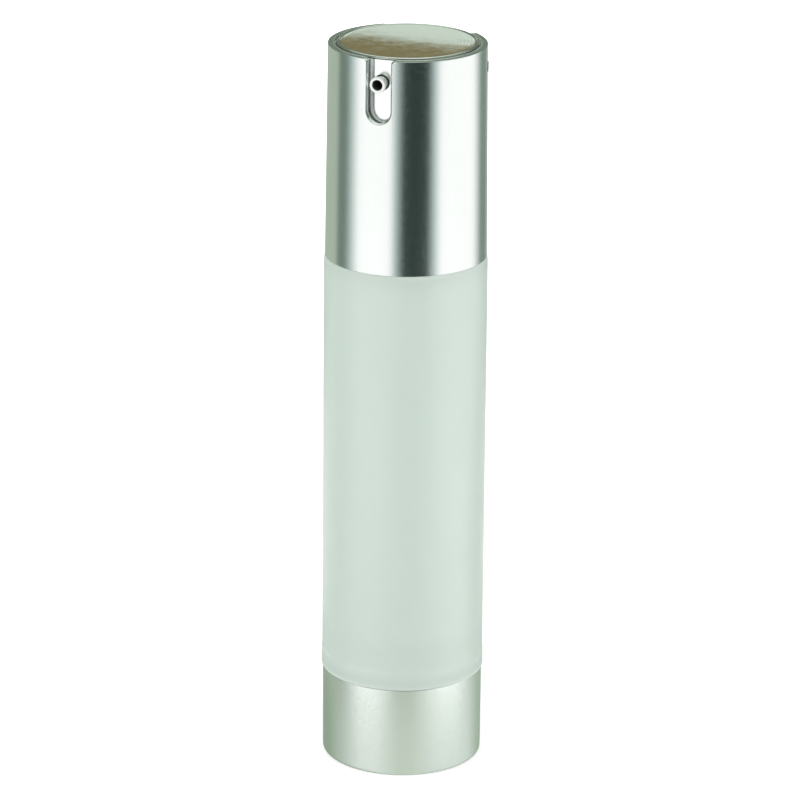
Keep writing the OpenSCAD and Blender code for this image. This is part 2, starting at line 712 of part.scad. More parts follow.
module nozzle_tip() color(bright_metal) {
    neck_r = nozzle_neck / 2;
    flange_r = nozzle_d / 2;
    face_y = nozzle_tip_y - tip_round;
    flange_y = nozzle_tip_y - nozzle_flange;
    difference() {
        union() {
            towards_nozzle(neck_r, nozzle_root_y, face_y);
            towards_nozzle(neck_r, flange_y - nozzle_cone, flange_y, flange_r);
            towards_nozzle(flange_r, flange_y, face_y);
            towards_nozzle(flange_r, face_y, nozzle_tip_y, flange_r - tip_round);
        }
        towards_nozzle(outlet_d / 2, nozzle_tip_y - outlet_depth, nozzle_tip_y + over);
        towards_nozzle(channel_d / 2, nozzle_root_y - over, nozzle_tip_y);
    }
}

base_shell();
base_plug();
barrel();
follower_piston();
neck_gasket();
pump_closure();
pump_housing();
housing_cap();
inlet_ball();
lower_stem();
seal_piston();
upper_stem();
return_spring();
collar_liner();
collar_shell();
actuator_core();
actuator_skirt();
actuator_disc();
nozzle_tip();
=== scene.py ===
# %% [markdown]
# # An airless pump bottle, dressed around its CAD frame
# The imported CAD model is the fixed frame: real sizes, in metres, with the bottle's foot at the
# origin, +Z up and the nozzle pointing to -Y.

# %% Load the frame
import json
import math

import bmesh
import bpy
from mathutils import Matrix, Vector


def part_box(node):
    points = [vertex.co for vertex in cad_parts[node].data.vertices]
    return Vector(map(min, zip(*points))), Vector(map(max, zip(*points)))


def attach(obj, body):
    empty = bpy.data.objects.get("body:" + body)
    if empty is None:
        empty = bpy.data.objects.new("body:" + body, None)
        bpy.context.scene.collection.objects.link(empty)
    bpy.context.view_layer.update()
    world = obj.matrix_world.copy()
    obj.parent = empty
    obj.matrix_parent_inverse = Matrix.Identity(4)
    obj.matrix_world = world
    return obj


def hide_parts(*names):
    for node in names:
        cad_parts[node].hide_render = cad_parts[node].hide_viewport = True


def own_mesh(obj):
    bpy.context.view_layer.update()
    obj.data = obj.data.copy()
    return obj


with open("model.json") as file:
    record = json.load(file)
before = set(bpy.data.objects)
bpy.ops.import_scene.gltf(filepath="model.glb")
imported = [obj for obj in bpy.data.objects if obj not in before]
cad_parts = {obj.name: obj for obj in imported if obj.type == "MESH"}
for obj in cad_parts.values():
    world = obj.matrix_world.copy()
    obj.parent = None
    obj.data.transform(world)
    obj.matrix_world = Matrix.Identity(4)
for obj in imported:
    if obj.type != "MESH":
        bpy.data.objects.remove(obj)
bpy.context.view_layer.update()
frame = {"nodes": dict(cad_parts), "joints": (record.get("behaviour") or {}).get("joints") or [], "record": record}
MM = 0.001

# %% [markdown]
# ## The camera
# The photograph was taken from some way off with a long lens, 19 degrees above the horizon and
# 21 degrees round from the nozzle, and rolled by half a degree. A long lens keeps the bottle's
# sides nearly parallel, but the ellipses of its seams still open towards the foot, which is
# what fixes the distance.

# %% Place the camera
CAMERA_TURN = math.radians(20.9)
CAMERA_BACK, CAMERA_HEIGHT = 845.3 * MM, 367.35 * MM
AIM_RIGHT, AIM_HEIGHT = -0.92 * MM, 75.8 * MM
CAMERA_RIGHT = 0.13 * MM
CAMERA_ROLL = math.radians(0.526)
LENS_MM, SENSOR_MM = 198.66, 36

turn = Matrix.Rotation(CAMERA_TURN, 3, "Z")
spot = turn @ Vector((CAMERA_RIGHT, -CAMERA_BACK, CAMERA_HEIGHT))
aim = turn @ Vector((AIM_RIGHT, 0, AIM_HEIGHT))
lens = bpy.data.cameras.new("camera")
lens.lens, lens.sensor_width = LENS_MM, SENSOR_MM
camera = bpy.data.objects.new("camera", lens)
bpy.context.collection.objects.link(camera)
camera.rotation_mode = "QUATERNION"
camera.location = spot
look = (aim - spot).to_track_quat("-Z", "Y")
camera.rotation_quaternion = look @ Matrix.Rotation(CAMERA_ROLL, 3, "Z").to_quaternion()
bpy.context.scene.camera = camera
bpy.context.scene.view_settings.view_transform = "Standard"
print("camera at", [round(v, 3) for v in spot])

# %% [markdown]
# ## Shader maths written as Python
# A material is a graph of nodes, which is slow to read when every link is written out. One
# small class wraps an output socket. Its operators add Math nodes, so `1 - mask` works, and
# its `node` method adds any other node: first its settings, then its sockets.

# %% A socket that does arithmetic
class Flow:
    """An output socket of a shader. Arithmetic on it adds Math nodes."""

    def __init__(self, tree, socket=None):
        self.tree, self.socket = tree, socket

    def node(self, kind, inputs=(), out=0, stops=(), **settings):
        """Adds a node: first its settings, then the links and values of its inputs."""
        made = self.tree.nodes.new("ShaderNode" + kind)
        for name, value in settings.items():
            setattr(made, name, value)
        if stops:
            ramp = made.color_ramp.elements
            while len(ramp) < len(stops):
                ramp.new(1)
            for element, (place, colour) in zip(ramp, stops):
                element.position, element.color = place, (*colour, 1)
        for name, value in dict(inputs).items():
            socket = made.inputs[name]
            if isinstance(value, Flow):
                self.tree.links.new(value.socket, socket)
            else:
                socket.default_value = value
        return Flow(self.tree, made.outputs[out])

    def math(self, operation, *values):
        return self.node("Math", dict(enumerate(values)), operation=operation)

    def __add__(self, other):
        return self.math("ADD", self, other)

    def __mul__(self, other):
        return self.math("MULTIPLY", self, other)

    def __sub__(self, other):
        return self.math("SUBTRACT", self, other)

    def __rsub__(self, other):
        return self.math("SUBTRACT", other, self)

    __radd__, __rmul__ = __add__, __mul__

    def size(self):
        """The value without its sign."""
        return self.math("ABSOLUTE", self)

    def between(self, low, high, start=0.0, end=1.0):
        """Maps low..high smoothly to start..end."""
        values = {"Value": self, "From Min": low, "From Max": high, "To Min": start, "To Max": end}
        return self.node("MapRange", values, interpolation_type="SMOOTHSTEP")

    def spread(self, start=0.0, end=1.0):
        """Maps a noise, most of which lies between 0.3 and 0.7, smoothly to start..end."""
        return self.between(0.3, 0.7, start, end)

    def peak(self, centre, reach):
        """1 at the centre, falling smoothly to 0 at `reach` on both sides."""
        return self.between(centre - reach, centre) * self.between(centre, centre + reach, 1.0, 0.0)

    def tint(self, first, second):
        """A colour between two colours, by this value."""
        # A Mix node takes its two colours at its inputs 6 and 7 and gives one at its output 2
        pair = {"Factor": self, 6: first, 7: second}
        return self.node("Mix", pair, out=2, data_type="RGBA")


# %% [markdown]
# A few helpers give the patterns that every finish is made of. They all start from a place in
# metres, so a grain of a quarter of a millimetre is written as one of 4000 cells to the metre.

# %% Patterns
def noise(place, scale, detail=2):
    """Noise with cells of about 1 / scale metres."""
    return place.node("TexNoise", {"Vector": place, "Scale": scale, "Detail": detail})


def split(place):
    """The three coordinates of a place."""
    parts = place.node("SeparateXYZ", {0: place}).socket.node.outputs
    return [Flow(place.tree, parts[axis]) for axis in "XYZ"]


def from_axis(place, keep=(1, 1, 0), centre=(0, 0, 0)):
    """The distance from an axis through `centre`; `keep` drops the axis's own direction."""
    away = place.node("VectorMath", {0: place, 1: centre}, operation="SUBTRACT")
    away = away.node("VectorMath", {0: away, 1: keep}, operation="MULTIPLY")
    return away.node("VectorMath", {0: away}, out="Value", operation="LENGTH")


def stretched(place, *scale):
    """The same place, scaled along its axes, for grain with a direction."""
    return place.node("Mapping", {"Vector": place, "Scale": scale}, vector_type="POINT")


def bump(height, size, strength):
    """A normal from a height that stands for `size` metres."""
    return height.node("Bump", {"Height": height, "Distance": size, "Strength": strength})


# %% [markdown]
# Every finish starts the same way: a Principled shader whose constant numbers sit on its own
# sockets, and a recipe that is given the surface's place and returns what varies over it.

# %% One way to start a finish
def finish(name, recipe, **constants):
    """Makes a material. The recipe maps Object coordinates to a dict of socket values."""
    material = bpy.data.materials.new(name)
    material.use_nodes = True
    tree = material.node_tree
    shader = tree.nodes["Principled BSDF"]
    for socket, value in constants.items():
        shader.inputs[socket.replace("_", " ")].default_value = value
    place = Flow(tree).node("TexCoord", out="Object")
    for socket, value in recipe(place).items():
        tree.links.new(value.socket, shader.inputs[socket])
    print("made the finish", name, "with", len(tree.nodes), "nodes")
    return material


# %% [markdown]
# ## Satin aluminium
# The collar and the base are drawn from aluminium sheet and have a satin anodised skin. Seen
# close, the skin is a fine even grain, which softens each reflection and breaks its edge into
# specks. A smooth metal with a high roughness alone looks like plastic foil, so a grain finer
# than a quarter of a millimetre goes into the bump, the roughness and, faintly, the colour.

# %% Make the satin metal
GRAIN, CLOUD = 4400, 60


def satin_recipe(place):
    grain = noise(place, GRAIN)
    specks = grain * 0.8 + noise(place, CLOUD) * 0.2
    return {
        "Base Color": specks.spread().tint((0.84, 0.86, 0.84, 1), (0.90, 0.92, 0.90, 1)),
        "Roughness": grain.spread(0.15, 0.24),
        "Normal": bump(grain, 0.0024 * MM, 0.4),
    }


satin = finish("satin_aluminium", satin_recipe, Metallic=1.0)

# %% [markdown]
# ## The bright disc
# The disc on the button is a pressed aluminium cap with a bright skin, close to a mirror. The
# press leaves slow waves in the sheet, which is why the line between light and dark wanders in
# its reflection, and faint rings, which come from the distance to the axis and show towards
# the edge. The cap's upright side is painted darker than its face: a painted shade for the dark
# line round the disc.

# %% Make the bright metal
WAVES, HAZE = 230, 700
RING_STEP, RING_WANDER, RINGS_FROM, RINGS_FULL = 0.65 * MM, 7, 8.5 * MM, 12.6 * MM
DISC_SHADED_SIDE, SIDE_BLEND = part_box("actuator_disc")[1][2] - 0.27 * MM, 0.06 * MM


def bright_recipe(place):
    radius = from_axis(place)
    waves = noise(place, WAVES, detail=1)
    haze = noise(place, HAZE, detail=3)
    turns = radius * (2 * math.pi / RING_STEP) + waves * RING_WANDER
    rings = turns.math("SINE", turns) * radius.between(RINGS_FROM, RINGS_FULL)
    face = split(place)[2].between(DISC_SHADED_SIDE - SIDE_BLEND, DISC_SHADED_SIDE)
    tone = haze * 0.6 + rings * 0.4 + 0.2
    skin = tone.between(0.2, 0.8).tint((0.76, 0.76, 0.72, 1), (0.86, 0.86, 0.82, 1))
    return {
        # Painted shade: the upright side under the face is given a dark grey-green
        "Base Color": face.tint((0.45, 0.49, 0.45, 1), skin),
        "Roughness": haze.between(0.35, 0.75, 0.04, 0.07),
        "Normal": bump(waves + rings * 0.11, 0.006 * MM, 1.0),
    }


bright = finish("bright_aluminium", bright_recipe, Metallic=1.0)

# %% [markdown]
# ## The frosted barrel
# The barrel is clear plastic with a frosted skin. Light goes in, scatters and comes out all
# round, so it looks like thin milk glass, and what stands inside shows only as a soft shade.
# A part of the light is let through with a rough transmission and the rest is scattered back.
# That blurs what is inside too far, so a painted highlight along the seam and painted shades
# at the lip, over the follower and under the shoulder are added, by their height.

# %% Make the frosted plastic
FROST, MILK = 5200, 45
SEAM_HIGHLIGHT, LIP_SHADE, FOLLOWER_SHADE, SHOULDER_SHADE = 19.3 * MM, 20.6 * MM, 26.5 * MM, 106.7 * MM


def frosted_recipe(place):
    frost = noise(place, FROST)
    cloud = noise(stretched(place, 1, 1, 0.35), MILK)
    height = split(place)[2]
    # A painted highlight along the seam, and painted shades at the lip, the follower and the shoulder
    line = height.peak(SEAM_HIGHLIGHT, 0.5 * MM) * 3
    lip = height.peak(LIP_SHADE, 1.5 * MM) * 0.45
    follower = height.peak(FOLLOWER_SHADE, 5 * MM) * 0.3
    shoulder_shade = height.between(SHOULDER_SHADE, SHOULDER_SHADE + 0.3 * MM)
    glow = cloud * 0.3 + line + 0.45 - (follower + shoulder_shade + lip)
    return {
        "Base Color": glow.between(-1, 2).tint((0.745, 0.855, 0.775, 1), (0.885, 1.0, 0.93, 1)),
        "Roughness": frost.spread(0.30, 0.38),
        "Normal": bump(frost, 0.005 * MM, 0.5),
    }


frosted = finish("frosted_plastic", frosted_recipe, Transmission_Weight=0.3, IOR=1.49,
                 Specular_IOR_Level=0.9)

# %% [markdown]
# ## Moulded plastics
# The inner pieces are moulded: white for what guides and clamps, natural and slightly clear for
# the pump's housing, soft grey for the seals. Moulded plastic is never one colour: it flows in
# the tool, which leaves long faint streaks, and its skin has a fine unevenness. One function
# writes the recipe for any of them from its darkest and lightest colour and its roughness.

# %% Make the moulded finishes
STREAKS, PEEL = 160, 1500


def moulded_recipe(dark, light, low, high):
    def recipe(place):
        flow = noise(stretched(place, 1, 1, 0.3), STREAKS, detail=3)
        peel = noise(place, PEEL)
        return {
            "Base Color": flow.spread().tint((*dark, 1), (*light, 1)),
            "Roughness": peel.spread(low, high),
            "Normal": bump(peel, 0.01 * MM, 0.5),
        }

    return recipe


white = finish("white_plastic", moulded_recipe((0.86, 0.88, 0.86), (0.90, 0.915, 0.90), 0.24, 0.34))
natural = finish("natural_plastic", moulded_recipe((0.74, 0.78, 0.75), (0.80, 0.83, 0.80), 0.3, 0.42),
                 Transmission_Weight=0.2, IOR=1.49)
rubber = finish("seal_rubber", moulded_recipe((0.50, 0.53, 0.53), (0.58, 0.60, 0.60), 0.55, 0.7))

# %% [markdown]
# ## The liner's cut edge
# The collar's plastic liner shows only in the slot and in the notch, as an edge behind the
# metal. That edge is given painted shade where it meets the metal, for the gap there, and is
# pale further in, so the distance from the bottle's axis tells the outer part of its wall from
# the rest.

# %% Make the liner's finish
LINER_SHADE_R, LINER_BLEND = 15.45 * MM, 0.1 * MM


def liner_recipe(place):
    outer = from_axis(place).between(LINER_SHADE_R - LINER_BLEND, LINER_SHADE_R + LINER_BLEND)
    peel = noise(place, PEEL)
    pale = peel.spread().tint((0.82, 0.85, 0.83, 1), (0.88, 0.90, 0.89, 1))
    return {
        # Painted shade: the outer part of the wall, next to the metal, is nearly black
        "Base Color": outer.tint(pale, (0.17, 0.19, 0.18, 1)),
        "Roughness": peel.spread(0.35, 0.45),
        "Normal": bump(peel, 0.01 * MM, 0.5),
    }


liner_with_painted_shade = finish("liner_with_painted_shade", liner_recipe)

# %% [markdown]
# ## Steel
# The spring and the valve's ball are bright steel. Drawn wire has fine lines along it, which
# run nearly level round the spring, so the noise is squeezed in height.

# %% Make the steel
DRAWN_LINES = 900


def steel_recipe(place):
    lines = noise(stretched(place, 1, 1, 6), DRAWN_LINES, detail=3)
    return {
        "Base Color": lines.spread().tint((0.55, 0.56, 0.57, 1), (0.66, 0.67, 0.68, 1)),
        "Roughness": lines.spread(0.16, 0.28),
        "Normal": bump(lines, 0.004 * MM, 0.5),
    }


steel = finish("spring_steel", steel_recipe, Metallic=1.0)

# %% [markdown]
# Each slot of the record has its finish, and each CAD node is given the finish of its slot.
# Nothing of a node's shape is changed. Only the liner gets a finish of its own, with painted shade.

# %% Dress the CAD nodes
BY_SLOT = {"satin_metal": satin, "bright_metal": bright, "frosted_barrel": frosted, "white_plastic": white,
           "natural_plastic": natural, "seal_rubber": rubber, "spring_steel": steel}
slot_of = {row["node"]: row["material_slot"] for row in frame["record"]["subparts"]}
for name, node in frame["nodes"].items():
    node.data.materials.clear()
    node.data.materials.append(BY_SLOT[slot_of[name]])
frame["nodes"]["collar_liner"].data.materials[0] = liner_with_painted_shade
print("dressed", len(slot_of), "nodes in", len(BY_SLOT), "finishes, and the liner in its own")

# %% [markdown]
# ## Turned pieces
# Most of the bottle is round, so one helper makes it: a closed outline in the plane of the
# axis, whose corners are rounded while it is still a wire, is spun once round the axis. The
# Weighted Normal modifier keeps the long plain walls flat beside their small rounded edges.

# %% Spin an outline
SPIN_STEPS, SHARP_FROM, MERGE_WITHIN = 160, math.radians(48), 0.001
FEWEST_SEGMENTS, MOST_SEGMENTS, SEGMENTS_PER_MM = 3, 10, 12


def outline_wire(bm, corners, place):
    """A closed wire from (distance, height, rounding) corners in mm, put in space by `place`."""
    before = set(bm.verts)
    verts = [bm.verts.new(place(distance * MM, height * MM)) for distance, height, _ in corners]
    for first, second in zip(verts, verts[1:] + verts[:1]):
        bm.edges.new((first, second))
    for radius in sorted({corner[2] for corner in corners if corner[2]}):
        chosen = [vert for vert, corner in zip(verts, corners) if corner[2] == radius]
        segments = max(FEWEST_SEGMENTS, min(MOST_SEGMENTS, round(radius * SEGMENTS_PER_MM)))
        bmesh.ops.bevel(bm, geom=chosen, offset=radius * MM, segments=segments, profile=0.5,
                        affect="VERTICES", material=-1, clamp_overlap=True)
    return [vert for vert in bm.verts if vert not in before]


def spin_wire(bm, wire, axis, centre, steps):
    """Spins the verts of a wire, and the edges between them, once round an axis."""
    edges = {edge for vert in wire for edge in vert.link_edges}
    bmesh.ops.spin(bm, geom=wire + list(edges), cent=centre, axis=axis, dvec=(0, 0, 0), angle=2 * math.pi,
                   steps=steps, use_merge=True, use_duplicate=False)


def as_piece(bm, name, body, slot, node):
    """Closes the mesh, gives it its finish and its body, and hides the CAD node that it stands for."""
    bmesh.ops.remove_doubles(bm, verts=bm.verts, dist=MERGE_WITHIN * MM)
    bmesh.ops.recalc_face_normals(bm, faces=bm.faces)
    for edge in bm.edges:
        edge.smooth = len(edge.link_faces) != 2 or edge.calc_face_angle() < SHARP_FROM
    mesh = bpy.data.meshes.new(name)
    bm.to_mesh(mesh)
    bm.free()
    mesh.materials.append(BY_SLOT[slot])
    mesh.shade_smooth()
    piece = bpy.data.objects.new(name, mesh)
    bpy.context.collection.objects.link(piece)
    shading = piece.modifiers.new("even_normals", "WEIGHTED_NORMAL")
    shading.weight, shading.keep_sharp = 100, True
    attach(piece, body)
    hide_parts(node)
    print(name, "has", len(mesh.polygons), "faces")
    return piece


def spun(name, corners, body, slot, node):
    """Turns a piece round the bottle's axis from an outline in mm."""
    bm = bmesh.new()
    wire = outline_wire(bm, corners, lambda distance, height: (distance, 0, height))
    spin_wire(bm, wire, (0, 0, 1), (0, 0, 0), SPIN_STEPS)
    as_piece(bm, name, body, slot, node)


# %% [markdown]
# ## The stage
# The floor is plain and white, and so is the world, whose dim light reaches the bottle from all
# sides. For the rays of the camera, of reflections and through clear plastic both glow more, so
# they look white without more light on the bottle. The floor glows least near the foot, so that
# the bottle's shadow stays.

# %% Start the stage
def emissive(name, recipe):
    """A material whose whole shader comes from the recipe."""
    material = bpy.data.materials.new(name)
    material.use_nodes = True
    tree = material.node_tree
    tree.nodes.remove(tree.nodes["Principled BSDF"])
    start = Flow(tree)
    tree.links.new(recipe(start).socket, tree.nodes["Material Output"].inputs["Surface"])
    print("made the stage's", name)
    return material


def seen_directly(start):
    """1 for the rays of the camera, of reflections and through clear plastic, and otherwise 0."""
    path = start.node("LightPath", out="Is Camera Ray")
    rays = path.socket.node.outputs
    kinds = [Flow(start.tree, rays[kind]) for kind in ("Is Glossy Ray", "Is Transmission Ray")]
    return path.math("MAXIMUM", path, kinds[0].math("MAXIMUM", *kinds))


# %% [markdown]
# The floor itself is hidden from reflections, because the metal mirrors the cards that go on
# below it.

# %% Lay the floor
FLOOR_HALF, FLOOR_TONE = 3, 0.8
GLOW_AT_FOOT, GLOW_FROM, GLOW_FULL = 0.36, 0.05, 0.5


def floor_recipe(start):
    lit = start.node("BsdfDiffuse", {"Color": (FLOOR_TONE,) * 3 + (1,)})
    place = start.node("TexCoord", out="Object")
    away = place.node("VectorMath", {0: place}, out="Value", operation="LENGTH")
    glow = seen_directly(start) * away.between(GLOW_FROM, GLOW_FULL, GLOW_AT_FOOT, 1.0)
    return lit.node("AddShader", {0: lit, 1: glow.node("Emission", {"Strength": glow})})


bm = bmesh.new()
bmesh.ops.create_grid(bm, x_segments=1, y_segments=1, size=FLOOR_HALF)
floor_mesh = bpy.data.meshes.new("floor")
bm.to_mesh(floor_mesh)
bm.free()
floor = bpy.data.objects.new("floor", floor_mesh)
bpy.context.collection.objects.link(floor)
floor.data.materials.append(emissive("floor_white", floor_recipe))
floor.visible_glossy = False

# %% Light the world
WORLD_LIGHT = 0.5
world = bpy.data.worlds.new("studio")
bpy.context.scene.world = world
world.use_nodes = True
background = world.node_tree.nodes["Background"]
strength = seen_directly(Flow(world.node_tree)).between(0, 1, WORLD_LIGHT, 1.0)
world.node_tree.links.new(strength.socket, background.inputs["Strength"])
background.inputs["Color"].default_value = (1, 1, 1, 1)
print("the world lights the bottle at", WORLD_LIGHT)

# %% [markdown]
# Two large soft lamps stand left and right of the camera, a third hangs above, and a weaker one
# stands behind. They are lit so that a white thing in the middle renders a little under white.
# Reflections don't see them: what the metal mirrors is left to the cards.

# %% Four soft lamps
LAMP_AIM = Vector((0, 0, 0.08))


def soft_lamp(name, azimuth, height, distance, size, watts):
    """A square lamp at an azimuth in degrees from the nozzle's side, with its sizes in metres."""
    lamp = bpy.data.lights.new(name, "AREA")
    lamp.shape, lamp.size, lamp.energy = "SQUARE", size, watts
    thing = bpy.data.objects.new(name, lamp)
    bpy.context.collection.objects.link(thing)
    a = math.radians(azimuth)
    thing.location = (math.sin(a) * distance, -math.cos(a) * distance, height)
    thing.rotation_mode = "QUATERNION"
    thing.rotation_quaternion = (LAMP_AIM - thing.location).to_track_quat("-Z", "Y")
    thing.visible_glossy = False
    print(name, "gives", watts, "watts")


soft_lamp("lamp_left", azimuth=-45, height=0.55, distance=0.9, size=0.6, watts=3.5)
soft_lamp("lamp_right", azimuth=85, height=0.5, distance=0.9, size=0.6, watts=3.5)
soft_lamp("lamp_above", azimuth=20, height=1.1, distance=0.3, size=0.7, watts=3)
soft_lamp("lamp_behind", azimuth=205, height=0.45, distance=0.9, size=0.6, watts=2.6)

# %% [markdown]
# ## The ring of cards
# Satin metal is drawn by what it reflects. A photographer stands white and dark cards round such
# a bottle, and here they are painted on one ring, which only reflections can see. At the
# collar's height it is a dark card beside the camera, a white one on each side of it, and
# grey-green ones further round. The barrel and the base mirror what lies lower, since the camera
# looks down on them, so the ring goes on below the floor, with soft lights for both.

# %% Choose the cards of the collar
# Azimuths are counted from the camera's own, in degrees, to the right
WHITE_CARD, COOL_CARD, DARK_CARD = (1.12, 1.13, 1.13), (0.42, 0.53, 0.51), (0.024, 0.040, 0.035)
EDGE_CARD, LEFT_CARD, RIGHT_CARD = (0.42, 0.50, 0.41), (0.16, 0.215, 0.18), (0.20, 0.265, 0.23)
CARDS = [(-180, EDGE_CARD), (-117, EDGE_CARD), (-109, LEFT_CARD), (-95, LEFT_CARD), (-85, COOL_CARD),
         (-69, WHITE_CARD), (-22, WHITE_CARD), (-15, COOL_CARD), (-4, DARK_CARD), (29, DARK_CARD),
         (38, COOL_CARD), (49, WHITE_CARD), (107, WHITE_CARD), (128, RIGHT_CARD), (147, RIGHT_CARD),
         (156, EDGE_CARD), (180, EDGE_CARD)]
print("the collar mirrors", len(CARDS), "stops")

# %% Choose the cards of the barrel and the base
SIDE_EDGE, SIDE_SHADE = (1.1, 1.15, 1.1), (0.15, 0.19, 0.16)
SIDE_LIGHT, SIDE_BRIGHT = (1.85, 1.85, 1.85), (2.3, 2.3, 2.3)
SIDES = [(-180, SIDE_EDGE), (-128, SIDE_EDGE), (-102, SIDE_SHADE), (-88, SIDE_SHADE), (-62, SIDE_LIGHT),
         (-38, SIDE_LIGHT), (-8, SIDE_SHADE), (14, SIDE_SHADE), (60, SIDE_BRIGHT), (84, SIDE_BRIGHT),
         (112, SIDE_SHADE), (128, SIDE_SHADE), (155, SIDE_EDGE), (180, SIDE_EDGE)]
LOW_SHADE, LOW_LEFT, LOW_MIDDLE = (0.30, 0.39, 0.29), (0.735, 0.805, 0.745), (0.66, 0.75, 0.645)
LOW_RIGHT, LOW_EDGE, FOOT_SHADE = (0.68, 0.76, 0.695), (0.42, 0.51, 0.41), (0.27, 0.34, 0.26)
LOW = [(-180, LOW_SHADE), (-130, LOW_SHADE), (-60, LOW_LEFT), (-38, LOW_LEFT), (-4, LOW_MIDDLE),
       (12, LOW_MIDDLE), (48, LOW_RIGHT), (110, LOW_RIGHT), (140, LOW_EDGE), (180, LOW_SHADE)]
print("the barrel mirrors", len(SIDES), "stops and the base", len(LOW))

# %% [markdown]
# Above the bottle stands a grey-green band, which the rim mirrors, and in it, behind the bottle,
# a brown strip under a pale one, which the disc mirrors. Heights on the ring say which card is
# met: a surface that looks up mirrors the high ones, an upright wall mirrors the ones that lie
# lower than itself by the camera's slope, and the rounded foot mirrors a shade below them all.
# Far up the ring is pale, for a look from above.

# %% Set the heights on the ring
BAND, HIGH_BAND = (0.165, 0.21, 0.16), (0.155, 0.205, 0.165)
BROWN, PALE = (0.225, 0.20, 0.10), (0.67, 0.78, 0.70)
# Heights in metres over which one card fades into the next
FOOT_SHADE_Z, FOOT_SHADE_REACH = -0.180, 0.03
SIDES_FROM, CARDS_FROM, BAND_FROM = (-0.098, -0.077), (-0.035, -0.015), (0.155, 0.165)
HIGH_BAND_FROM, PALE_FROM = (0.21, 0.30), (0.33, 0.42)
STRIP_FOOT, STRIP_TOP = (0.210, 0.214), (0.242, 0.246)
# The strip: half its width, where brown meets pale, how soft that line is, and how far it leans
STRIP_HALF, STRIP_LINE, LINE_BLUR, STRIP_LEAN = math.radians(4.2), 0.2278, 0.0005, 0.17

# %% Paint the ring
def from_camera(x, y):
    """The azimuth of a place in turns, where 0.5 is the azimuth of the photograph's camera."""
    turns = (x.math("ARCTAN2", x, 0 - y) - CAMERA_TURN) * (1 / (2 * math.pi)) + 1.5
    return turns.math("FRACT", turns)


def around(turns, cards):
    """The colour of the card that stands at this azimuth."""
    stops = [((degrees + 180) / 360, colour) for degrees, colour in cards]
    return turns.node("ValToRGB", {"Fac": turns}, stops=stops)


def strip_mask(turns, z):
    """1 on the strip, which stands where the count of turns wraps round, straight behind the bottle."""
    behind = (turns - 0.5).size().between(0.5 - STRIP_HALF / (2 * math.pi), 0.5 - STRIP_HALF / (3 * math.pi))
    return behind * z.between(*STRIP_FOOT) * z.between(*STRIP_TOP, 1.0, 0.0)


def ring_recipe(start):
    x, y, z = split(start.node("TexCoord", out="Object"))
    turns = from_camera(x, y)
    colour = z.peak(FOOT_SHADE_Z, FOOT_SHADE_REACH).tint(around(turns, LOW), (*FOOT_SHADE, 1))
    colour = z.between(*SIDES_FROM).tint(colour, around(turns, SIDES))
    colour = z.between(*CARDS_FROM).tint(colour, around(turns, CARDS))
    colour = z.between(*BAND_FROM).tint(colour, (*BAND, 1))
    across = x * math.cos(CAMERA_TURN) + y * math.sin(CAMERA_TURN)
    line = z + across * STRIP_LEAN
    strip = line.between(STRIP_LINE - LINE_BLUR, STRIP_LINE + LINE_BLUR).tint((*BROWN, 1), (*PALE, 1))
    colour = z.between(*HIGH_BAND_FROM).tint(colour, (*HIGH_BAND, 1))
    colour = strip_mask(turns, z).tint(colour, strip)
    colour = z.between(*PALE_FROM).tint(colour, (*PALE, 1))
    return colour.node("Emission", {"Color": colour, "Strength": 1.0})


# %% Stand the ring
RING_RADIUS, RING_FOOT, RING_TOP, RING_SIDES = 0.30, -0.32, 0.9, 96


def only_verts(geom):
    """The vertices among what an operator made."""
    return [thing for thing in geom if isinstance(thing, bmesh.types.BMVert)]


bm = bmesh.new()
bmesh.ops.create_circle(bm, cap_ends=True, segments=RING_SIDES, radius=RING_RADIUS,
                        matrix=Matrix.Translation((0, 0, RING_FOOT)))
wall = bmesh.ops.extrude_edge_only(bm, edges=bm.edges[:])["geom"]
bmesh.ops.translate(bm, vec=(0, 0, RING_TOP - RING_FOOT), verts=only_verts(wall))
ring_mesh = bpy.data.meshes.new("card_ring")
bm.to_mesh(ring_mesh)
bm.free()
ring = bpy.data.objects.new("card_ring", ring_mesh)
bpy.context.collection.objects.link(ring)
ring.data.materials.append(emissive("card_ring", ring_recipe))
for ray in ("camera", "diffuse", "transmission", "volume_scatter", "shadow"):
    setattr(ring, "visible_" + ray, False)

# %% [markdown]
# ## Sizes of the visible pieces
# Heights and outer radii come from the boxes of the CAD nodes. The few sizes that a box can't
# give, such as walls and steps, are named with each piece in millimetres. In an outline the
# third number of a corner says how far its rounding reaches.

# %% Read the frame's sizes
def span(node):
    """Radius, foot and top of a round node, in mm."""
    low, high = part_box(node)
    return max(abs(low[0]), high[0]) / MM, low[2] / MM, high[2] / MM


base_r, _, base_top = span("base_shell")
lip_r, seam_z, neck_top = span("barrel")
collar_r, collar_foot, rim_z = span("collar_shell")
disc_r, _, disc_top = span("actuator_disc")
_, nozzle_low, nozzle_high = span("nozzle_tip")
print("seam", round(seam_z, 2), "collar", round(collar_foot, 2), round(rim_z, 2), "disc", round(disc_r, 2))

# %% [markdown]
# ## The base
# A drawn cup with a rolled foot edge and a shallow dish underneath, so that it stands on a
# ring. A bevelled cylinder would do for its outside, but the outline of the sheet's own section
# gives the foot, the dish, the air hole and the inner wall in one closed shape.

# %% Spin the base
BASE_SHEET, BASE_DRAFT, FOOT_ROUND = 0.5, 0.05, 0.7
DISH_R, DISH_H, VENT_R = 12.5, 0.3, 1.0
base_in = base_r - BASE_SHEET
spun("base_cup", [
    (VENT_R, DISH_H, 0.08), (DISH_R, DISH_H, 0.25), (DISH_R + DISH_H, 0, 0.25),
    (base_r - BASE_DRAFT, 0, FOOT_ROUND), (base_r, base_top, 0.1), (base_in, base_top, 0.1),
    (base_in - BASE_DRAFT, BASE_SHEET, 0.25), (DISH_R + DISH_H, BASE_SHEET, 0.25),
    (DISH_R, BASE_SHEET + DISH_H, 0.25), (VENT_R, BASE_SHEET + DISH_H, 0.08),
], "bottle", "satin_metal", "base_shell")

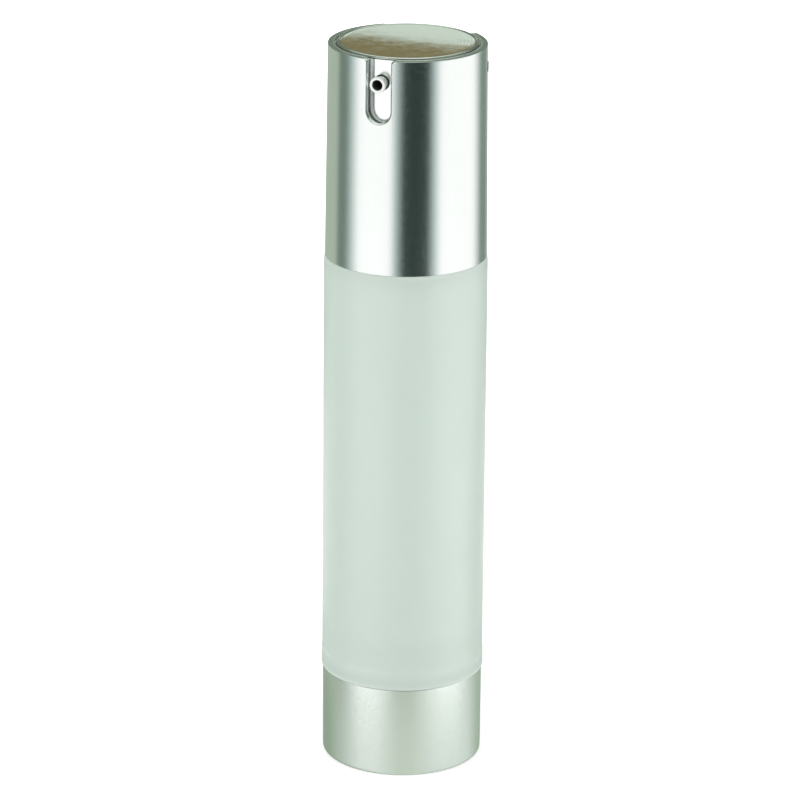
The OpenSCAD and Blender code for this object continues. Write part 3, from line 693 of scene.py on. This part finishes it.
# %% [markdown]
# ## The barrel
# One closed wall: a slightly fuller lip at the foot, a long plain tube with almost no draft, a
# shoulder that tucks in under the collar, and the neck with its snap bead. The wall is spun
# with both its sides, because light goes through it.

# %% Spin the barrel
BARREL_R, SHOULDER_R, BORE_R, NECK_R, NECK_BORE_R = 16.5, 16.45, 14.6, 12.9, 10.9
LIP_H, LIP_BLEND, SHOULDER_H, SHOULDER_IN, ROOF_T = 4.0, 0.5, 0.8, 0.25, 2.0
BEAD_RISE, BEAD_H, BEAD_OUT = 6.0, 2.6, 0.45
bead_z = collar_foot + BEAD_RISE
spun("frosted_tube", [
    (BORE_R, seam_z, 0.1), (lip_r, seam_z, 0.06), (lip_r, seam_z + LIP_H - LIP_BLEND, 0.8),
    (BARREL_R, seam_z + LIP_H, 0.8), (SHOULDER_R, collar_foot - SHOULDER_H, 0.4),
    (SHOULDER_R - SHOULDER_IN, collar_foot, 0.08), (NECK_R, collar_foot, 0.1), (NECK_R, bead_z, 0),
    (NECK_R + BEAD_OUT, bead_z + BEAD_H * 0.25, 0.15), (NECK_R + BEAD_OUT, bead_z + BEAD_H * 0.5, 0.15),
    (NECK_R, bead_z + BEAD_H, 0), (NECK_R, neck_top, 0.2), (NECK_BORE_R, neck_top, 0.2),
    (NECK_BORE_R, collar_foot - ROOF_T, 0.2), (BORE_R, collar_foot - ROOF_T, 1.5),
], "bottle", "frosted_barrel", "barrel")

# %% [markdown]
# ## The collar
# The collar is a drawn tube with a slot for the nozzle, a finger notch at the back and a rim
# that is turned in over the sleeve and falls a little outward. Cutting rounded openings out of
# a finished tube gives ragged edges, so it is made as a tinsmith would: the flat sheet first,
# with its openings and its rounded edges, and then it is rolled round the axis until its ends
# meet at the back.

# %% Outline the flat sheet
# A hair's breadth in mm, for what has to stay just clear of an edge
HAIR = 0.01
COLLAR_SHEET, COLLAR_DRAFT = 0.4, 0.45
SLOT_W, SLOT_DEPTH, NOTCH_W, NOTCH_DEPTH = 5.5, 13.0, 18.6, 6.0
RIM_CORNER, NOTCH_CORNER = 0.8, 3.0
rim_r = collar_r - COLLAR_DRAFT
collar_h = rim_z - collar_foot
half_turn = math.pi * rim_r
notch_at = half_turn - math.asin(NOTCH_W / 2 / rim_r) * rim_r


def flat_sheet(bm):
    """The sheet's outline, counted round from the nozzle, as one face at the outer side."""
    slot_end = collar_h - SLOT_DEPTH
    right = [(SLOT_W / 2, slot_end, SLOT_W / 2 - HAIR), (SLOT_W / 2, collar_h, RIM_CORNER),
             (notch_at, collar_h, RIM_CORNER), (notch_at, collar_h - NOTCH_DEPTH, NOTCH_CORNER),
             (half_turn, collar_h - NOTCH_DEPTH, 0), (half_turn, 0, 0)]
    left = [(-along, height, radius) for along, height, radius in reversed(right)]
    outline_wire(bm, right + left, lambda along, height: (along, 0, height))
    bmesh.ops.contextual_create(bm, geom=bm.edges[:])


print("the flat sheet is", round(2 * half_turn, 1), "by", round(collar_h, 1), "mm")

# %% [markdown]
# The face is pushed to the sheet's thickness, the strip along the rim is pushed further for the
# turned-in lip, and all the edges that a hand could touch are rounded. The ends of the sheet
# stay open, because they are joined when it is rolled.

# %% Ways to work a flat sheet
FACING = 0.9
CUT_SNAP = 1e-7


def middle(face):
    return face.calc_center_median()


def push(bm, faces, depth):
    """Extrudes faces to a depth in mm inside the bottle."""
    made = bmesh.ops.extrude_face_region(bm, geom=faces)["geom"]
    bmesh.ops.translate(bm, vec=(0, depth * MM, 0), verts=only_verts(made))


def cut(bm, place, normal):
    """Cuts all faces along a plane and keeps both sides."""
    bmesh.ops.bisect_plane(bm, geom=bm.verts[:] + bm.edges[:] + bm.faces[:], dist=CUT_SNAP, plane_co=place,
                           plane_no=normal)


def open_ends(bm, half_width):
    """Deletes the two end faces of a flat sheet, which meet when it is rolled."""
    near_end = (half_width - HAIR) * MM
    ends = [f for f in bm.faces if abs(f.normal.x) > FACING and abs(middle(f).x) > near_end]
    bmesh.ops.delete(bm, geom=ends, context="FACES")


# %% Thicken, turn in the rim, round the edges
RIM_WIDTH, EDGE_ROUND, EDGE_SEGMENTS, ROUND_FROM = 1.35, 0.22, 4, math.radians(50)
lip_z = (collar_h - COLLAR_SHEET) * MM
bm = bmesh.new()
flat_sheet(bm)
push(bm, bm.faces[:], COLLAR_SHEET)
bmesh.ops.recalc_face_normals(bm, faces=bm.faces)
cut(bm, (0, 0, lip_z), (0, 0, 1))
lip = [f for f in bm.faces if f.normal.y > FACING and middle(f).z > lip_z]
push(bm, lip, RIM_WIDTH - COLLAR_SHEET)
bmesh.ops.delete(bm, geom=[f for f in lip if f.is_valid], context="FACES")
open_ends(bm, half_turn)
sharp = [e for e in bm.edges if len(e.link_faces) == 2 and e.calc_face_angle() > ROUND_FROM]
bmesh.ops.bevel(bm, geom=sharp, offset=EDGE_ROUND * MM, segments=EDGE_SEGMENTS, profile=0.5,
                affect="EDGES", material=-1, clamp_overlap=True)
print("flat sheet has", len(bm.faces), "faces,", len(sharp), "edges rounded")

# %% [markdown]
# The slot's edge is coined by the punch: its wall leans, so that it shows a bright line beside
# the dark gap. The sheet is then cut into narrow upright strips, which can follow a circle, and
# every vertex goes from its place along the sheet to its angle round the axis.

# %% Coin the slot and roll the sheet
ROLL_CUTS, COIN, COIN_REACH = 180, 0.35, 0.05
RIM_FALL, RIM_BLEND = 0.1, 0.8


def coin_slot(bm):
    """Draws the slot's wall in with its depth, so that it faces forward and catches the light."""
    round_z, past_rim = collar_h - SLOT_DEPTH + SLOT_W / 2, collar_h + SLOT_W
    for vert in bm.verts:
        along, depth, height = vert.co / MM
        centre = Vector((0, min(max(height, round_z), past_rim)))
        away = Vector((along, height)) - centre
        if away.length < SLOT_W / 2 + EDGE_ROUND + COIN_REACH:
            moved = centre + away * (1 - COIN * min(depth / COLLAR_SHEET, 1) / away.length)
            vert.co = Vector((moved.x, depth, moved.y)) * MM


def cut_strips(bm, half_width):
    """Cuts a flat sheet into upright strips."""
    for i in range(1, ROLL_CUTS):
        cut(bm, ((2 * i / ROLL_CUTS - 1) * half_width * MM, 0, 0), (1, 0, 0))


def roll(bm):
    """Rolls the collar's sheet round the axis, with its draft and the fall of its rim."""
    cut_strips(bm, half_turn)
    for vert in bm.verts:
        angle = vert.co.x / (rim_r * MM)
        radius = (collar_r - COLLAR_DRAFT * vert.co.z / (collar_h * MM)) * MM - vert.co.y
        turned_in = vert.co.y / (RIM_WIDTH * MM)
        near_rim = max(0, vert.co.z / MM - collar_h + RIM_BLEND) / RIM_BLEND
        fall = RIM_FALL * MM * near_rim * (1 - turned_in)
        vert.co = (radius * math.sin(angle), -radius * math.cos(angle), vert.co.z + collar_foot * MM - fall)


coin_slot(bm)
roll(bm)
as_piece(bm, "collar_sleeve", "bottle", "satin_metal", "collar_shell")

# %% [markdown]
# ## The disc
# The disc is a pressed cap: a thin rolled bead round its edge, a flat ring inside the bead,
# and a middle that sags by a tenth of a millimetre, as a part of a large ball would. The sag is
# what splits its reflection into a near and a far part.

# %% Spin the disc
DISC_BEAD_W, DISC_BEAD_H, BEAD_FOOT = 0.4, 0.15, 0.3
FLAT_W, FLAT_BLEND, FLAT_RISE = 1.0, 0.5, 0.02
SAG, SAG_STEPS, DISC_T, DISC_EDGE = 0.1, 8, 0.6, 0.28
dish_z, dish_r = disc_top - DISC_BEAD_H, disc_r - DISC_BEAD_W - FLAT_W
sagging = [(dish_r * i / SAG_STEPS, dish_z - SAG * (1 - (i / SAG_STEPS) ** 2), 0)
           for i in range(SAG_STEPS + 1)]
spun("button_disc", sagging + [
    (dish_r + FLAT_BLEND, dish_z + FLAT_RISE, 0.1),
    (disc_r - DISC_BEAD_W - BEAD_FOOT, dish_z + FLAT_RISE, 0.1),
    (disc_r - DISC_BEAD_W, disc_top, 0.12), (disc_r, disc_top, DISC_EDGE),
    (disc_r, disc_top - DISC_T, DISC_EDGE), (0, disc_top - DISC_T, 0),
], "button", "bright_metal", "actuator_disc")

# %% [markdown]
# ## The button's sleeve
# Under the disc a thin bright sleeve slides in the collar, with a round hole for the nozzle.
# Like the collar it is laid out flat first: a strip with a hole, filled between the two loops,
# thickened, and rolled round the axis. Its closed top is a turned cap, which the disc covers.

# %% Cut, thicken and roll the sleeve
SLEEVE_WALL, HOLE_R, SMALL_STEPS = 1.0, 1.6, 64
UPRIGHT = Matrix.Rotation(math.pi / 2, 4, "X")
sleeve_r, sleeve_foot, sleeve_top = span("actuator_skirt")
hole_z = (nozzle_low + nozzle_high) / 2
half_round = math.pi * sleeve_r
bm = bmesh.new()
outline_wire(bm, [(-half_round, sleeve_foot, 0), (half_round, sleeve_foot, 0),
                  (half_round, sleeve_top, 0), (-half_round, sleeve_top, 0)],
             lambda along, height: (along, 0, height))
bmesh.ops.create_circle(bm, segments=SMALL_STEPS, radius=HOLE_R * MM,
                        matrix=Matrix.Translation((0, 0, hole_z * MM)) @ UPRIGHT)
bmesh.ops.triangle_fill(bm, edges=bm.edges[:], use_beauty=True, normal=(0, -1, 0))
bmesh.ops.recalc_face_normals(bm, faces=bm.faces)
push(bm, bm.faces[:], SLEEVE_WALL)
open_ends(bm, half_round)
cut_strips(bm, half_round)
for vert in bm.verts:
    angle, radius = vert.co.x / (sleeve_r * MM), sleeve_r * MM - vert.co.y
    vert.co = (radius * math.sin(angle), -radius * math.cos(angle), vert.co.z)
web_verts = outline_wire(bm, [(0, sleeve_top, 0), (sleeve_r - SLEEVE_WALL, sleeve_top, 0),
                              (sleeve_r - SLEEVE_WALL, sleeve_top - SLEEVE_WALL, 0),
                              (0, sleeve_top - SLEEVE_WALL, 0)],
                         lambda distance, height: (distance, 0, height))
spin_wire(bm, web_verts, (0, 0, 1), (0, 0, 0), SPIN_STEPS)
sleeve = as_piece(bm, "button_sleeve", "button", "bright_metal", "actuator_skirt")

# %% [markdown]
# The sleeve's metal is paler and duller than the disc's, and the wall of its hole, which lies in
# shadow behind the nozzle, is painted nearly black at the front, as painted shade.

# %% Make the sleeve's finish
BORE_EDGE = 0.03
FRONT = (-2 * MM, -1 * MM)


def from_nozzle(place):
    """The distance from the nozzle's axis."""
    return from_axis(place, (1, 0, 1), (0, 0, hole_z * MM))


def sleeve_recipe(place):
    haze = noise(place, HAZE, detail=3)
    front = split(place)[1].between(*FRONT, 1.0, 0.0)
    bore = from_nozzle(place).between((HOLE_R + HAIR) * MM, (HOLE_R + BORE_EDGE) * MM, 1.0, 0.0)
    skin = haze.spread().tint((0.91, 0.93, 0.92, 1), (0.94, 0.955, 0.945, 1))
    return {
        # Painted shade: the front of the hole's wall is nearly black
        "Base Color": (bore * front).tint(skin, (0.04, 0.045, 0.04, 1)),
        "Roughness": haze.between(0.35, 0.75, 0.14, 0.22),
        "Normal": bump(haze, 0.003 * MM, 0.5),
    }


sleeve.data.materials[0] = finish("sleeve_metal", sleeve_recipe, Metallic=1.0)

# %% [markdown]
# ## The nozzle
# A small turned spout: a neck with three ridges, and a rounded flange with the outlet. It is
# spun round its own axis, which runs out of the button to -Y. Its skin is bright outside only:
# the bore behind the outlet, and the plug in the sleeve's hole, are painted dark and not
# metallic, as painted shade in the deep bore and in the hole.

# %% Make the spout's finish
OUTLET_R, PLUG_Y = 1.05, 13.5
SHADE_FROM, SHADE_FULL = 0.15, 0.05


def spout_recipe(place):
    haze = noise(place, HAZE, detail=3)
    reach = split(place)[1]
    # Painted shade: inside the outlet and on the plug the colour is nearly black and not metallic
    skin = from_nozzle(place).between((OUTLET_R + HAIR) * MM, (OUTLET_R + BORE_EDGE) * MM)
    skin = skin * reach.between(-(PLUG_Y + SHADE_FROM) * MM, -(PLUG_Y + SHADE_FULL) * MM, 1.0, 0.0)
    return {
        "Base Color": skin.tint((0.07, 0.08, 0.07, 1), (0.91, 0.93, 0.91, 1)),
        "Metallic": skin * 0.7,
        "Roughness": haze.between(0.35, 0.75, 0.28, 0.36),
        "Normal": bump(haze, 0.004 * MM, 0.5),
    }


spout_metal = finish("spout_metal", spout_recipe)

# %% Spin the nozzle
OUTLET_DEPTH, CHANNEL_R, PLUG_R, PLUG_STEP, WAIST_R = 4.0, 0.7, 1.5, 0.02, 1.12
FLANGE, FLANGE_IN, FLANGE_EDGE = 0.8, 0.05, 0.1
# A ridge starts and ends at these shares of its step
RIDGES, RIDGE_STEP, RIDGE_START, RIDGE_END, RIDGE_R, GROOVE_R = 3, 0.5, 0.35, 0.65, 1.32, 1.16
nozzle_r = (nozzle_high - nozzle_low) / 2
tip_y, root_y = -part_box("nozzle_tip")[0][1] / MM, -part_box("nozzle_tip")[1][1] / MM
ridge_from = tip_y - FLANGE - RIDGES * RIDGE_STEP
ridges = []
for i in range(RIDGES):
    start = ridge_from + i * RIDGE_STEP
    ridges += [(GROOVE_R, start, 0.05), (RIDGE_R, start + RIDGE_STEP * RIDGE_START, 0.1),
               (RIDGE_R, start + RIDGE_STEP * RIDGE_END, 0.1)]
bm = bmesh.new()
spout_wire = outline_wire(bm, [
    (CHANNEL_R, root_y, 0.05), (PLUG_R, root_y, 0.1), (PLUG_R, PLUG_Y, 0.05),
    (WAIST_R, PLUG_Y + PLUG_STEP, 0.02), *ridges, (nozzle_r - FLANGE_IN, tip_y - FLANGE, 0.1),
    (nozzle_r, tip_y - FLANGE + FLANGE_EDGE, 0.08), (nozzle_r, tip_y, 0.12), (OUTLET_R, tip_y, 0.08),
    (OUTLET_R, tip_y - OUTLET_DEPTH, 0.05), (CHANNEL_R, tip_y - OUTLET_DEPTH, 0.05),
], lambda distance, reach: (distance, -reach, hole_z * MM))
spin_wire(bm, spout_wire, (0, 1, 0), (0, 0, hole_z * MM), SMALL_STEPS)
nozzle = as_piece(bm, "nozzle_spout", "button", "bright_metal", "nozzle_tip")
nozzle.data.materials[0] = spout_metal

# %% [markdown]
# ## The return spring
# A compression spring of round steel wire, between the housing's cap and the button. Its end
# turns are wound closed, so that it stands square, and the turns between them carry the load.
# A curve with a round bevel could draw it too, but a circle that is spun upwards in three
# stretches, each with its own rise, gives a plain mesh at once, whose ends only need a face.

# %% Wind the spring
WIRE_D, WIRE_SIDES, CLOSED_TURN, ACTIVE_TURNS, WIND_STEPS = 0.8, 12, 0.85, 4.5, 32
coil_out, coil_foot, coil_top = span("return_spring")
coil_r = coil_out - WIRE_D / 2
active_rise = (coil_top - coil_foot - WIRE_D - 2 * CLOSED_TURN) / ACTIVE_TURNS
first_end = Matrix.Translation((coil_r * MM, 0, (coil_foot + WIRE_D / 2) * MM)) @ UPRIGHT
bm = bmesh.new()
section = bmesh.ops.create_circle(bm, segments=WIRE_SIDES, radius=WIRE_D / 2 * MM, matrix=first_end)
end = section["verts"] + bm.edges[:]
for turns, rise in ((1, CLOSED_TURN), (ACTIVE_TURNS, active_rise), (1, CLOSED_TURN)):
    wound = bmesh.ops.spin(bm, geom=end, cent=(0, 0, 0), axis=(0, 0, 1), dvec=(0, 0, rise / WIND_STEPS * MM),
                           angle=2 * math.pi * turns, steps=round(WIND_STEPS * turns), use_merge=False,
                           use_duplicate=False)
    end = wound["geom_last"]
bmesh.ops.holes_fill(bm, edges=[edge for edge in bm.edges if len(edge.link_faces) == 1], sides=0)
spring = as_piece(bm, "spring_coil", "bottle", "spring_steel", "return_spring")

# %% [markdown]
# When the button goes down, the spring shortens towards its foot, which stays on the housing's
# cap. Here the share of its length that is left at the full stroke is worked out from the joint,
# and the spring is given a mesh of its own.

# %% Let the spring follow the button
CAP_GAP = 0.1
press = next(joint for joint in frame["joints"] if joint["name"] == "button_press")
seat_z = coil_foot - CAP_GAP
shortened = (coil_top - seat_z - press["range_m"][1] / MM) / (coil_top - seat_z)
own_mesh(spring)
spring_top = max(vert.co.z for vert in spring.data.vertices) / MM
print("spring keeps", round(shortened, 3), "of its length, top at", round(spring_top, 2))
